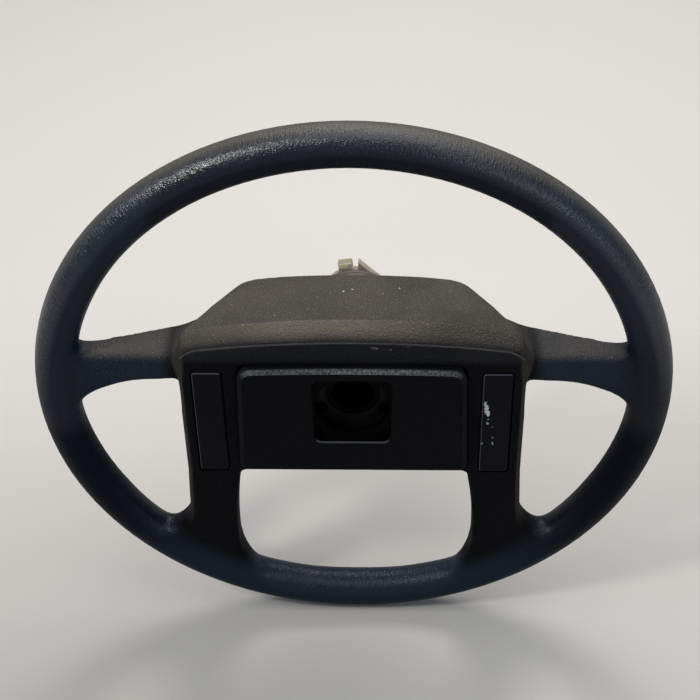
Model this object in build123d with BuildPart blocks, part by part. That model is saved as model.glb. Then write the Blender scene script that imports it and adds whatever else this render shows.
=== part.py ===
from build123d import *
import math
import os

os.makedirs("parts", exist_ok=True)

# A car steering wheel with four spokes and two horn pads, in millimetres.
# X runs to the driver's right, Z to the top of the wheel, and Y along the column, away from the driver.
# The origin is on the wheel's axis, at the column end of the steel boss.
# A size called forward is a distance from that end towards the driver, against the Y axis.

# Rim
rim_diameter = 390.0
rim_section = 25.6
rim_forward = 88.0
rim_radius = (rim_diameter - rim_section) / 2

# Hub of the moulding, with its depths ahead of and behind the rim's middle plane
hub_half_width = 105.5
hub_face_rise = 12.2
hub_shoulder_rise = 2.0
hub_back_drop = 42.5
hub_face_top = 52.0
hub_face_arch = 8.7
hub_top = 60.5
hub_top_arch = 8.3
hub_bottom = 57.8
hub_back_taper = 32.5
hub_back_arch = 4.6
hub_back_lift = 6.5
hub_corner = 9.0
hub_back_corner = 16.0
hub_face_edge = 4.0
hub_shoulder_edge = 5.0
hub_back_edge = 2.5
hub_face = rim_forward + hub_face_rise
hub_shoulder = rim_forward + hub_shoulder_rise
hub_back = rim_forward - hub_back_drop
hub_back_half_width = hub_half_width - hub_back_taper
hub_back_bottom = hub_bottom - hub_back_lift

# Upper spokes, with their depths ahead of and behind the rim's middle plane
upper_spoke_low = 13.3
upper_spoke_top = 34.5
upper_spoke_rise = 6.0
upper_spoke_rim_drop = 10.0
upper_spoke_root_drop = 23.0
upper_spoke_edge = 4.5
upper_root_run = 10.5
upper_root_climb = 13.0
upper_inner_overlap = 11.0
upper_flare_reach = 60.0
upper_flare_bend = 25.0
upper_flare_drop = 9.8
upper_flare_tip = 34.0
upper_corner = 15.0
rim_bite = 7.0

# Lower spokes
lower_spoke_width = 34.0
lower_spoke_slim = 5.5
lower_spoke_splay = 1.5
lower_spoke_back_drop = 9.0
lower_spoke_back_edge = 5.0
lower_inner_run = 32.0
lower_inner_rise = 58.5
lower_outer_run = 33.0
lower_outer_rise = 24.0
lower_opening_corner = 5.0
lower_opening_half_width = hub_half_width - lower_spoke_width
lower_spoke_back = rim_forward - lower_spoke_back_drop

# Centre pad, its badge recess and the way through it to the column bolt
pad_taper = 2.5
pad_top = 33.5
pad_arch = 1.5
pad_lip = 5.5
pad_corner = 5.5
pad_rise = 5.5
pad_sunk = 5.0
pad_edge = 3.0
pad_gap = 0.6
badge_half_width = 24.3
badge_taper = 0.8
badge_top = 24.4
badge_low = 25.8
badge_corner = 5.0
badge_depth = 5.0
badge_edge = 0.8
access_radius = 23.0
pad_low = hub_bottom - pad_lip
pad_seat = hub_face - pad_sunk
pad_front = hub_face + pad_rise

# Horn pads and what is under them
horn_side_margin = 7.5
horn_top = 27.5
horn_pocket_width = 20.0
horn_pocket_height = 84.5
horn_pocket_depth = 11.2
horn_pocket_corner = 3.0
horn_gap = 0.9
horn_proud = 0.4
horn_cap = 3.0
horn_edge = 0.8
horn_travel = 2.0
run_clear = 0.3
tray_fit = 0.3
tray_floor = 1.5
tray_wall = 1.3
skirt_room = 0.7
skirt_wall = 1.5
stem_width = 4.0
stem_spacing = 64.0
guide_wall = 1.2
catch_height = 1.1
catch_width = 8.0
catch_bite = 0.5
contact_plate_thickness = 0.5
contact_plate_width = 10.0
contact_plate_length = 50.0
contact_stud_radius = 2.5
contact_stud_spacing = 35.0
contact_stud_clear = 0.2
spring_thickness = 0.4
spring_width = 4.0
spring_span = 26.0
tray_screw_spacing = 48.0
tray_screw_radius = 1.5
tray_screw_head_radius = 2.6
tray_screw_head_height = 1.5
tray_screw_bite = 5.0
horn_x = hub_half_width - horn_side_margin - horn_pocket_width / 2
horn_z = horn_top - horn_pocket_height / 2
horn_seat = hub_face - horn_pocket_depth
tray_floor_top = horn_seat + tray_floor
horn_front = hub_face + horn_proud
cap_back = horn_front - horn_cap
tray_top = cap_back - horn_travel - run_clear
skirt_end = tray_floor_top + horn_travel + run_clear
stem_end = horn_seat + horn_travel + run_clear
contact_plate_back = cap_back - contact_plate_thickness

# Cast armature inside the moulding
ring_width = 10.0
ring_depth = 8.0
plate_thickness = 6.0
arm_cover = 4.0
leg_width = 14.0
foam_gap = 0.2
screw_room = 0.2
plate_front = horn_seat
plate_back = plate_front - plate_thickness
arm_low = upper_spoke_low + arm_cover
arm_top = upper_spoke_top - arm_cover

# Screws that hold the centre pad from behind
pad_screw_inset = 11.0
pad_screw_high = 22.0
pad_screw_margin = 14.0
pad_screw_land = 8.0
pad_post_width = 8.5
pad_post_room = 0.4
pad_screw_radius = 2.0
pad_screw_head_radius = 4.0
pad_screw_head_height = 3.0
pad_screw_bite = 8.0
pad_screw_access_radius = 5.5
pad_screw_x = lower_opening_half_width - pad_taper - pad_screw_inset
pad_screw_low = pad_low - pad_screw_margin
plate_low = pad_screw_low + pad_screw_land
pad_screw_places = [
    (pad_screw_x, pad_screw_high),
    (-pad_screw_x, pad_screw_high),
    (pad_screw_x, -pad_screw_low),
    (-pad_screw_x, -pad_screw_low),
]

# Steel boss and its bore
boss_radius = 17.0
boss_fit = 0.1
pilot_radius = 10.5
pilot_length = 15.0
serration_tip_radius = 8.6
serration_root_radius = 9.6
serration_teeth = 36
serration_length = 30.0
stud_bore_radius = 7.0
bolt_seat_radius = 13.0
bolt_seat_depth = 18.0

# Round the boss, each over the last: the ring that cancels the indicators, the contact carrier, its slip ring
# and the chamber in the moulding
cancel_clear = 0.8
cancel_ring_wall = 3.7
cancel_ring_depth = 10.0
cancel_grip = 3.0
cancel_fit = 0.2
cancel_lug_width = 9.4
cancel_lug_side = 6.3
cancel_lug_rise = 5.8
cancel_lug_start = 5.0
cancel_lug_tilt = 8.0
cancel_lug_corner = 1.0
cancel_fin_side = 1.8
cancel_fin_rise = 6.8
cancel_fin_width = 5.0
cancel_root_overlap = 0.3
carrier_wall = 4.3
carrier_seat_depth = 8.0
carrier_tail = 1.0
carrier_fit = 0.4
carrier_screw_inset = 4.0
carrier_screw_count = 3
carrier_screw_radius = 1.8
carrier_screw_head_radius = 3.0
carrier_screw_head_height = 2.4
carrier_screw_bite = 5.0
slip_ring_fit = 0.1
slip_ring_wall = 2.3
slip_ring_width = 8.0
slip_ring_forward = 30.0
chamber_room = 0.6
well_room = 0.6
cancel_ring_bore = boss_radius + cancel_clear
cancel_ring_radius = cancel_ring_bore + cancel_ring_wall
carrier_bore = boss_radius + carrier_fit
carrier_room = cancel_ring_radius + cancel_fit
carrier_radius = carrier_room + carrier_wall
slip_ring_bore = carrier_radius + slip_ring_fit
slip_ring_radius = slip_ring_bore + slip_ring_wall
chamber_radius = slip_ring_radius + chamber_room
carrier_screw_circle = carrier_bore + carrier_screw_inset
well_radius = carrier_screw_circle + carrier_screw_head_radius + well_room
carrier_screw_places = [
    (
        carrier_screw_circle * math.sin(math.tau * place / carrier_screw_count),
        carrier_screw_circle * math.cos(math.tau * place / carrier_screw_count),
    )
    for place in range(carrier_screw_count)
]

# Leads from the horn contacts to the slip ring
lead_radius = 0.9
lead_room = 0.7
lead_bend = 6.0
lead_clear = 0.2
lead_forward = plate_front + lead_room + lead_radius
lead_drop_x = carrier_radius + lead_clear + lead_radius
lead_way = lead_radius + lead_room

# Flat sides of the small screws, their holes and the contacts, and how near a plane its edges are found
fixing_sides = 8
head_sides = 6
edge_pick = 0.1

sides = (("left", -1), ("right", 1))


def front(forward):
    """The plane that faces the driver at this distance ahead of the column end."""
    return Plane.XZ.offset(forward)


def low_on_rim(x):
    """The point on the lower half of the rim's middle circle at this distance to the right."""
    return Vector(x, -math.sqrt(rim_radius**2 - x**2))


def edges_at(part, forward):
    """The edges of a part that lie in the plane facing the driver at this depth."""
    return part.edges().filter_by_position(Axis.Y, -forward - edge_pick, -forward + edge_pick)


def clear_of_rim(edges):
    """Those of the edges that aren't buried in the rim."""
    reach = rim_radius - rim_bite
    return edges.filter_by(lambda edge: math.hypot(edge.center().X, edge.center().Z) < reach)


def hub_section(forward, half_width, top, arch, bottom, corner):
    """Front view of the hub at one depth: straight sides, an arched top and rounded upper corners."""
    with BuildSketch(front(forward)) as section:
        with BuildLine():
            arch_right = (half_width, top - arch)
            arch_left = (-half_width, top - arch)
            Polyline(arch_right, (half_width, -bottom), (-half_width, -bottom), arch_left)
            ThreePointArc(arch_left, (0, top), arch_right)
        make_face()
        fillet(section.vertices().group_by(Axis.Y)[-1], corner)
    return section.sketch


def upper_spoke():
    """The right upper spoke: its front view, flared at both ends, cut to its view from above."""
    inner_x = hub_back_half_width - upper_inner_overlap
    root_x = hub_half_width + upper_root_run
    flare_start = Vector(rim_radius - upper_flare_reach, upper_spoke_low)
    flare_bend = Vector(rim_radius - upper_flare_bend, upper_spoke_low - upper_flare_drop)
    flare_end = Vector(rim_radius - rim_bite, upper_spoke_low - upper_flare_tip)
    corner_end = Vector(rim_radius - rim_bite, upper_spoke_top + upper_corner)
    corner_start = Vector(corner_end.X - upper_corner, upper_spoke_top)
    root_start = (root_x, upper_spoke_top)
    root_end = (hub_back_half_width, upper_spoke_top + upper_root_climb)
    spoke_front = -(rim_forward + upper_spoke_rise)
    rim_back = -(rim_forward - upper_spoke_rim_drop)
    root_back = -(rim_forward - upper_spoke_root_drop)
    with BuildPart() as spoke:
        with BuildSketch(Plane.XZ):
            with BuildLine():
                Line((inner_x, upper_spoke_low), flare_start)
                flare = TangentArc(flare_start, flare_bend, tangent=(1, 0))
                TangentArc(flare_bend, flare_end, tangent=flare % 1)
                Polyline(flare_end, (rim_radius, flare_end.Y), (rim_radius, corner_end.Y), corner_end)
                TangentArc(corner_start, corner_end, tangent=(1, 0))
                Line(corner_start, root_start)
                TangentArc(root_start, root_end, tangent=(-1, 0))
                Polyline(root_end, (inner_x, root_end[1]), (inner_x, upper_spoke_low))
            make_face()
        extrude(amount=hub_face)
        with BuildSketch(Plane.XY):
            with BuildLine():
                Polyline(
                    (inner_x, spoke_front),
                    (rim_radius, spoke_front),
                    (rim_radius, rim_back),
                    (flare_bend.X, rim_back),
                )
                Spline(
                    (flare_bend.X, rim_back),
                    (root_x, root_back),
                    (hub_back_half_width, -hub_back),
                    tangents=((-1, 0), (-1, 1)),
                )
                Polyline((hub_back_half_width, -hub_back), (inner_x, -hub_back), (inner_x, spoke_front))
            make_face()
        extrude(amount=hub_top, both=True, mode=Mode.INTERSECT)
        front_face = spoke.faces().filter_by(Axis.Y).sort_by(Axis.Y)[0]
        open_edges = front_face.edges() - spoke.faces().filter_by(Axis.X).edges()
        fillet(open_edges.filter_by(lambda edge: edge.center().X < rim_radius - rim_bite), upper_spoke_edge)
    return spoke.part


def pad_outline(margin):
    """Front view of the centre pad, or with a margin of the recess that takes it."""
    half_top = lower_opening_half_width - pad_taper + margin
    half_low = lower_opening_half_width + margin
    side_top = pad_top - pad_arch + margin
    side_low = -pad_low - margin
    with BuildSketch(Plane.XY) as outline:
        with BuildLine():
            Polyline((half_top, side_top), (half_low, side_low), (-half_low, side_low), (-half_top, side_top))
            ThreePointArc((-half_top, side_top), (0, pad_top + margin), (half_top, side_top))
        make_face()
        fillet(outline.vertices(), pad_corner + margin)
    return outline.sketch


def armature_body(gap):
    """The casting's ring, hub plate and four arms, or with a gap the room for them in the moulding."""
    leg_length = math.sqrt(rim_radius**2 - horn_x**2)
    with BuildPart() as body:
        with BuildSketch(Plane.YZ):
            with Locations((-rim_forward, rim_radius)):
                Rectangle(ring_depth + 2 * gap, ring_width + 2 * gap)
        revolve(axis=Axis.Y)
        with BuildSketch(front(plate_back - gap)):
            with Locations((0, (arm_low + arm_top) / 2)):
                Rectangle(2 * rim_radius, arm_top - arm_low + 2 * gap)
            with Locations((0, (arm_top - plate_low) / 2)):
                Rectangle(2 * horn_x + leg_width + 2 * gap, arm_top + plate_low + 2 * gap)
            with Locations((-horn_x, -leg_length / 2), (horn_x, -leg_length / 2)):
                Rectangle(leg_width + 2 * gap, leg_length)
            Circle(rim_radius, mode=Mode.INTERSECT)
        extrude(amount=plate_thickness + 2 * gap)
    return body.part


def screws(places, head_back, head_height, head_radius, shank_radius, shank_length, towards):
    """A set of equal screws, heads at one depth and shanks towards the driver (1) or the column (-1)."""
    with BuildPart() as group:
        with BuildSketch(front(head_back)):
            with Locations(places):
                RegularPolygon(head_radius, head_sides)
        extrude(amount=-towards * head_height)
        with BuildSketch(front(head_back)):
            with Locations(places):
                RegularPolygon(shank_radius, fixing_sides)
        extrude(amount=towards * shank_length)
    return group.part


def save(piece, name):
    """Give a finished piece its name and write it."""
    piece.label = name
    export_step(piece, f"parts/{name}.step")


# The moulding: rim grip, four spokes and hub in one piece
with BuildPart() as moulded_cover:
    back_section = hub_section(
        hub_back, hub_back_half_width, hub_top, hub_back_arch, hub_back_bottom, hub_back_corner
    )
    shoulder_section = hub_section(
        hub_shoulder, hub_half_width, hub_top, hub_top_arch, hub_bottom, hub_corner
    )
    face_section = hub_section(hub_face, hub_half_width, hub_face_top, hub_face_arch, hub_bottom, hub_corner)
    loft(sections=[back_section, shoulder_section, face_section], ruled=True)
    shoulder_edges = edges_at(moulded_cover, hub_shoulder)
    fillet(shoulder_edges.filter_by(lambda edge: edge.center().Z > upper_spoke_top), hub_shoulder_edge)
    chamfer(edges_at(moulded_cover, hub_back), hub_back_edge)

    # Face of the hub and the two lower spokes, down to the rim
    inner_x = lower_opening_half_width + lower_spoke_slim
    inner_end = low_on_rim(inner_x - lower_inner_run)
    inner_start = Vector(inner_x, inner_end.Y + lower_inner_rise)
    outer_x = hub_half_width + lower_spoke_splay
    outer_end = low_on_rim(outer_x + lower_outer_run)
    outer_start = Vector(outer_x, outer_end.Y + lower_outer_rise)
    outer_straight = -hub_bottom - outer_start.Y
    opening_corner = (lower_opening_half_width, -hub_bottom)
    with BuildSketch(front(lower_spoke_back)) as lower_spokes:
        with BuildLine():
            Polyline((0, 0), (hub_half_width, 0), (hub_half_width, -hub_bottom), outer_start)
            TangentArc(outer_start, outer_end, tangent=(0, -1))
            RadiusArc(outer_end, inner_end, rim_radius)
            TangentArc(inner_start, inner_end, tangent=(0, -1))
            TangentArc(inner_start, opening_corner, tangent=(0, 1))
            Line(opening_corner, (0, -hub_bottom))
            mirror(about=Plane.YZ)
        make_face()
        reach = hub_half_width - edge_pick
        corners = lower_spokes.vertices().filter_by_position(Axis.X, -reach, reach)
        fillet(corners.group_by(Axis.Y)[-1], lower_opening_corner)
    extrude(amount=hub_face - lower_spoke_back)
    fillet(clear_of_rim(edges_at(moulded_cover, hub_face)), hub_face_edge)
    rear_edges = edges_at(moulded_cover, lower_spoke_back)
    below_hub = rear_edges.filter_by(lambda edge: edge.center().Z < -hub_bottom - edge_pick)
    fillet(clear_of_rim(below_hub), min(lower_spoke_back_edge, outer_straight))

    right_spoke = upper_spoke()
    add(right_spoke)
    add(right_spoke.mirror(Plane.YZ))

    # Rim grip, drawn at the top of the wheel, where no spoke meets it
    with BuildSketch(Plane.YZ):
        with Locations((-rim_forward, rim_radius)):
            Circle(rim_section / 2)
    revolve(axis=Axis.Y)

    # Room for the armature, the chamber round the boss and the well in front of it
    add(armature_body(foam_gap), mode=Mode.SUBTRACT)
    with BuildSketch(front(hub_back)):
        Circle(chamber_radius)
    extrude(amount=plate_back - hub_back, mode=Mode.SUBTRACT)
    with BuildSketch(front(plate_front)):
        Circle(well_radius)
    extrude(amount=pad_seat - plate_front, mode=Mode.SUBTRACT)

    # Recess for the centre pad, and holes for its posts and screws
    with BuildSketch(front(pad_seat)):
        add(pad_outline(pad_gap))
    extrude(amount=pad_sunk, mode=Mode.SUBTRACT)
    with BuildSketch(front(plate_front)):
        with Locations(pad_screw_places):
            Rectangle(pad_post_width + 2 * pad_post_room, pad_post_width + 2 * pad_post_room)
    extrude(amount=pad_seat - plate_front, mode=Mode.SUBTRACT)
    with BuildSketch(front(hub_back)):
        with Locations(pad_screw_places):
            Circle(pad_screw_access_radius)
    extrude(amount=plate_back - hub_back, mode=Mode.SUBTRACT)

    # Pockets for the horn pads, and a way for each lead from its pocket to the well
    with BuildSketch(front(horn_seat)):
        with Locations((-horn_x, horn_z), (horn_x, horn_z)):
            RectangleRounded(horn_pocket_width, horn_pocket_height, horn_pocket_corner)
    extrude(amount=horn_pocket_depth, mode=Mode.SUBTRACT)
    with BuildSketch(front(plate_front)):
        Rectangle(2 * horn_x, 2 * lead_way)
    extrude(amount=2 * lead_way, mode=Mode.SUBTRACT)
save(moulded_cover.part, "moulded_cover")

# Cast armature: rim ring, hub plate and four arms in one piece
with BuildPart() as armature:
    add(armature_body(0))
    with BuildSketch(front(plate_back)):
        Circle(boss_radius + boss_fit)
        with Locations(pad_screw_places):
            RegularPolygon(pad_screw_radius + screw_room, fixing_sides)
        with Locations(carrier_screw_places):
            RegularPolygon(carrier_screw_radius + screw_room, fixing_sides)
        with Locations((lead_drop_x + lead_bend / 2, 0), (-lead_drop_x - lead_bend / 2, 0)):
            SlotOverall(lead_bend + 2 * lead_way, 2 * lead_way)
    extrude(amount=plate_thickness, mode=Mode.SUBTRACT)
    tray_screw_rise = tray_screw_spacing / 2
    with BuildSketch(front(plate_front)):
        for side_x in (-horn_x, horn_x):
            with Locations((side_x, horn_z + tray_screw_rise), (side_x, horn_z - tray_screw_rise)):
                RegularPolygon(tray_screw_radius + screw_room, fixing_sides)
    extrude(amount=-tray_screw_bite - screw_room, mode=Mode.SUBTRACT)
save(armature.part, "armature")

# Steel boss with a pilot, a serrated stretch, a stud bore and a seat for the column bolt
with BuildPart() as hub_boss:
    with BuildSketch(front(0)):
        Circle(boss_radius)
    extrude(amount=plate_front)
    with BuildSketch(front(0)):
        Circle(pilot_radius)
    extrude(amount=pilot_length, mode=Mode.SUBTRACT)
    tooth_angle = 180 / serration_teeth
    serration_points = [
        Vector(radius, 0).rotate(Axis.Z, tooth_angle * (2 * tooth + step))
        for tooth in range(serration_teeth)
        for step, radius in ((0, serration_tip_radius), (1, serration_root_radius))
    ]
    with BuildSketch(front(pilot_length)):
        with BuildLine():
            Polyline(serration_points, close=True)
        make_face()
    extrude(amount=serration_length, mode=Mode.SUBTRACT)
    with BuildSketch(front(pilot_length)):
        Circle(stud_bore_radius)
    extrude(amount=plate_front - pilot_length, mode=Mode.SUBTRACT)
    with BuildSketch(front(plate_front)):
        Circle(bolt_seat_radius)
    extrude(amount=-bolt_seat_depth, mode=Mode.SUBTRACT)
save(hub_boss.part, "hub_boss")

# Centre pad with its badge recess, the way to the column bolt and four posts behind
with BuildPart() as centre_pad:
    with BuildSketch(front(pad_seat)):
        add(pad_outline(0))
    extrude(amount=pad_front - pad_seat)
    chamfer(centre_pad.faces().sort_by(Axis.Y)[0].edges(), pad_edge)
    with BuildSketch(front(pad_front)) as badge_recess:
        with BuildLine():
            Polyline(
                (badge_half_width, badge_top),
                (badge_half_width - badge_taper, -badge_low),
                (badge_taper - badge_half_width, -badge_low),
                (-badge_half_width, badge_top),
                close=True,
            )
        make_face()
        fillet(badge_recess.vertices(), badge_corner)
    extrude(amount=-badge_depth, mode=Mode.SUBTRACT)
    chamfer(centre_pad.faces().sort_by(Axis.Y)[0].inner_wires()[0].edges(), badge_edge)
    with BuildSketch(front(pad_seat)):
        Circle(access_radius)
    extrude(amount=pad_front - badge_depth - pad_seat, mode=Mode.SUBTRACT)
    with BuildSketch(front(pad_seat)):
        with Locations(pad_screw_places):
            Rectangle(pad_post_width, pad_post_width)
    extrude(amount=plate_front - pad_seat)
    with BuildSketch(front(plate_front)):
        with Locations(pad_screw_places):
            RegularPolygon(pad_screw_radius + screw_room, fixing_sides)
    extrude(amount=pad_screw_bite, mode=Mode.SUBTRACT)
save(centre_pad.part, "centre_pad")
save(
    screws(
        pad_screw_places,
        plate_back,
        pad_screw_head_height,
        pad_screw_head_radius,
        pad_screw_radius,
        plate_thickness + pad_screw_bite - screw_room,
        1,
    ),
    "centre_pad_screws",
)

# Contact carrier: a sleeve round the boss, thick where it is screwed to the armature
with BuildPart() as contact_carrier:
    with BuildSketch(Plane.XY):
        with BuildLine():
            Polyline(
                (carrier_bore, -plate_back),
                (carrier_radius, -plate_back),
                (carrier_radius, carrier_tail),
                (carrier_room, carrier_tail),
                (carrier_room, carrier_seat_depth - plate_back),
                (carrier_bore, carrier_seat_depth - plate_back),
                close=True,
            )
        make_face()
    revolve(axis=Axis.Y)
    with BuildSketch(front(plate_back)):
        with Locations(carrier_screw_places):
            RegularPolygon(carrier_screw_radius + screw_room, fixing_sides)
    extrude(amount=-carrier_screw_bite - screw_room, mode=Mode.SUBTRACT)
save(contact_carrier.part, "contact_carrier")
save(
    screws(
        carrier_screw_places,
        plate_front,
        carrier_screw_head_height,
        carrier_screw_head_radius,
        carrier_screw_radius,
        plate_thickness + carrier_screw_bite,
        -1,
    ),
    "carrier_screws",
)

# Slip ring in its seat on the carrier
with BuildPart() as slip_ring:
    with BuildSketch(front(slip_ring_forward)):
        Circle(slip_ring_radius)
        Circle(slip_ring_bore, mode=Mode.SUBTRACT)
    extrude(amount=slip_ring_width)
save(slip_ring.part, "slip_ring")

# Ring that cancels the indicators, with a tilted lug and a fin that slopes down to the ring
with BuildPart() as cancel_ring:
    ring_tail = -carrier_tail - cancel_ring_depth
    with BuildSketch(front(ring_tail)):
        Circle(cancel_ring_radius)
        Circle(cancel_ring_bore, mode=Mode.SUBTRACT)
    extrude(amount=cancel_ring_depth + cancel_grip)
    lug_top = cancel_ring_radius + cancel_lug_rise
    lug_root = math.sqrt(cancel_ring_radius**2 - (cancel_lug_side + cancel_lug_width / 2) ** 2)
    lug_height = lug_top - lug_root + 2 * cancel_root_overlap
    with BuildSketch(front(ring_tail)):
        with Locations((-cancel_lug_side, lug_top - lug_height / 2)):
            RectangleRounded(cancel_lug_width, lug_height, cancel_lug_corner, rotation=cancel_lug_tilt)
    extrude(amount=cancel_ring_depth - cancel_lug_start)
    fin_peak = Vector(cancel_fin_side, cancel_ring_radius + cancel_fin_rise)
    fin_spread = math.degrees(math.acos((cancel_ring_radius - cancel_root_overlap) / fin_peak.length))
    fin_foot = fin_peak.normalized().rotate(Axis.Z, -fin_spread) * (cancel_ring_radius - cancel_root_overlap)
    with BuildSketch(front(ring_tail)):
        with BuildLine():
            Polyline(fin_peak, fin_foot, (cancel_fin_side, fin_foot.Y), close=True)
        make_face()
    extrude(amount=cancel_fin_width)
save(cancel_ring.part, "cancel_ring")

# Each side's horn pad and what is under it
pad_width = horn_pocket_width - 2 * horn_gap
pad_height = horn_pocket_height - 2 * horn_gap
tray_width = horn_pocket_width - 2 * tray_fit
tray_height = horn_pocket_height - 2 * tray_fit
tray_room_width = tray_width - 2 * tray_wall
tray_room_height = tray_height - 2 * tray_wall
skirt_width = tray_room_width - 2 * skirt_room
skirt_height = tray_room_height - 2 * skirt_room
stem_rise = stem_spacing / 2
guide_width = stem_width + 2 * (run_clear + guide_wall)
stud_rise = contact_stud_spacing / 2
catch_top = skirt_end + catch_height
for side_name, side in sides:
    middle = (side * horn_x, horn_z)
    stem_places = [(side * horn_x, horn_z + stem_rise), (side * horn_x, horn_z - stem_rise)]
    stud_places = [(side * horn_x, horn_z + stud_rise), (side * horn_x, horn_z - stud_rise)]
    screw_places = [(side * horn_x, horn_z + tray_screw_rise), (side * horn_x, horn_z - tray_screw_rise)]

    # Tray, screwed to the armature, with guides for the stems and windows for the catches
    with BuildPart() as horn_tray:
        with BuildSketch(front(horn_seat)):
            with Locations(middle):
                RectangleRounded(tray_width, tray_height, horn_pocket_corner)
        extrude(amount=tray_top - horn_seat)
        with BuildSketch(front(tray_floor_top)):
            with Locations(middle):
                Rectangle(tray_room_width, tray_room_height)
        extrude(amount=tray_top - tray_floor_top, mode=Mode.SUBTRACT)
        with BuildSketch(front(tray_floor_top)):
            with Locations(stem_places):
                Rectangle(guide_width, guide_width)
        extrude(amount=tray_top - tray_floor_top)
        with BuildSketch(front(horn_seat)):
            with Locations(stem_places):
                Rectangle(stem_width + 2 * run_clear, stem_width + 2 * run_clear)
            with Locations(screw_places):
                RegularPolygon(tray_screw_radius + screw_room, fixing_sides)
        extrude(amount=tray_top - horn_seat, mode=Mode.SUBTRACT)
        with BuildSketch(front(tray_floor_top)):
            with Locations(middle):
                Rectangle(catch_width + 2 * run_clear, tray_height)
                Rectangle(catch_width + 2 * run_clear, tray_room_height, mode=Mode.SUBTRACT)
        extrude(amount=catch_top + run_clear - tray_floor_top, mode=Mode.SUBTRACT)
    save(horn_tray.part, f"horn_tray_{side_name}")
    save(
        screws(
            screw_places,
            tray_floor_top,
            tray_screw_head_height,
            tray_screw_head_radius,
            tray_screw_radius,
            tray_floor + tray_screw_bite,
            -1,
        ),
        f"horn_tray_screws_{side_name}",
    )

    # Fixed contact studs, which the contact plate meets at the end of the travel
    with BuildPart() as contact_studs:
        with BuildSketch(front(tray_floor_top)):
            with Locations(stud_places):
                RegularPolygon(contact_stud_radius, fixing_sides)
        extrude(amount=contact_plate_back - horn_travel - contact_stud_clear - tray_floor_top)
    save(contact_studs.part, f"contact_studs_{side_name}")

    # Leaf spring, bowed from the tray's floor up to the contact plate
    with BuildPart() as horn_spring:
        with BuildSketch(Plane.YZ.offset(side * horn_x - spring_width / 2)):
            with BuildLine():
                crown = -(contact_plate_back - run_clear)
                under = -tray_floor_top
                foot = under - spring_thickness
                high = horn_z + spring_span / 2
                low = horn_z - spring_span / 2
                ThreePointArc((foot, low), (crown, horn_z), (foot, high))
                Line((foot, high), (under, high))
                ThreePointArc((under, high), (crown + spring_thickness, horn_z), (under, low))
                Line((under, low), (foot, low))
            make_face()
        extrude(amount=spring_width)
    save(horn_spring.part, f"horn_spring_{side_name}")

    # Pad that the driver presses: a cap with a skirt, two guide stems and two catches
    with BuildPart() as horn_pad:
        with BuildSketch(front(cap_back)):
            with Locations(middle):
                RectangleRounded(pad_width, pad_height, horn_pocket_corner - horn_gap)
        extrude(amount=horn_cap)
        chamfer(horn_pad.faces().sort_by(Axis.Y)[0].edges(), horn_edge)
        with BuildSketch(front(cap_back)):
            with Locations(middle):
                Rectangle(skirt_width, skirt_height)
                Rectangle(skirt_width - 2 * skirt_wall, skirt_height - 2 * skirt_wall, mode=Mode.SUBTRACT)
        extrude(amount=skirt_end - cap_back)
        with BuildSketch(front(cap_back)):
            with Locations(stem_places):
                Rectangle(stem_width, stem_width)
        extrude(amount=stem_end - cap_back)
        with BuildSketch(front(skirt_end)):
            with Locations(middle):
                Rectangle(catch_width, skirt_height + 2 * (skirt_room + catch_bite))
                Rectangle(catch_width, skirt_height - skirt_wall, mode=Mode.SUBTRACT)
        extrude(amount=catch_height)
    save(horn_pad.part, f"horn_pad_{side_name}")

    # Contact plate under the pad
    with BuildPart() as contact_plate:
        with BuildSketch(front(contact_plate_back)):
            with Locations(middle):
                Rectangle(contact_plate_width, contact_plate_length)
        extrude(amount=contact_plate_thickness)
    save(contact_plate.part, f"contact_plate_{side_name}")

    # Lead from the tray, through the hub plate and along the carrier to the slip ring
    with BuildPart() as horn_lead:
        with BuildLine() as lead_path:
            FilletPolyline(
                (side * (horn_x - tray_width / 2), -lead_forward, 0),
                (side * lead_drop_x, -lead_forward, 0),
                (side * lead_drop_x, -slip_ring_forward - slip_ring_width, 0),
                radius=lead_bend,
            )
        with BuildSketch(Plane(lead_path.line @ 0, z_dir=lead_path.line % 0)):
            RegularPolygon(lead_radius, fixing_sides)
        sweep()
    save(horn_lead.part, f"horn_lead_{side_name}")
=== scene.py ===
import math

import bmesh
import bpy
from mathutils import Matrix, Vector


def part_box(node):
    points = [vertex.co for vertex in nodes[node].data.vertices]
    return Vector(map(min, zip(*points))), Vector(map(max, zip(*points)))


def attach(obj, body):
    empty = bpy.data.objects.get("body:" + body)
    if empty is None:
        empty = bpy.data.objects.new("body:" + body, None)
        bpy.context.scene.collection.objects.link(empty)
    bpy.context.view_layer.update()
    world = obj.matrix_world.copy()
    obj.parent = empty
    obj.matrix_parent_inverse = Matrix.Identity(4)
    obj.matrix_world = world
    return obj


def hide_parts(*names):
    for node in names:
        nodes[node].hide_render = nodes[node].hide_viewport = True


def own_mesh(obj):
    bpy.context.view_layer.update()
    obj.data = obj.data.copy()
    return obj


# A used car steering wheel, dressed around its CAD frame. Lengths are in metres.
# X runs to the driver's right, Z to the top of the wheel, and Y along the column, away from the driver.

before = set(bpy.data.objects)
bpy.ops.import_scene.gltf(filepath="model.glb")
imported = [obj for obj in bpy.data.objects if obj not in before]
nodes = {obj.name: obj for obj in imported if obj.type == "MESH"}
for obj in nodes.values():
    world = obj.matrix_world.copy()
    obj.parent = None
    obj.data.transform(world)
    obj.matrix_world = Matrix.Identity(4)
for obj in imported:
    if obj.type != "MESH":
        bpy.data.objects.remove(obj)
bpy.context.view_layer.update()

# Places on the wheel, from the frame's boxes or, where no box shows them, from the CAD's own sizes
rim_low, rim_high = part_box("moulded_cover")
panel_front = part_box("centre_pad")[0].y
rim_section = 0.0256
rim_radius = rim_high.x - rim_section / 2
rim_depth = -0.088
hub_side = 0.1055
hub_face = -0.1002
face_top = 0.052
face_arch = 0.0087
face_back = -0.092
face_corner = 0.013

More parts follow.
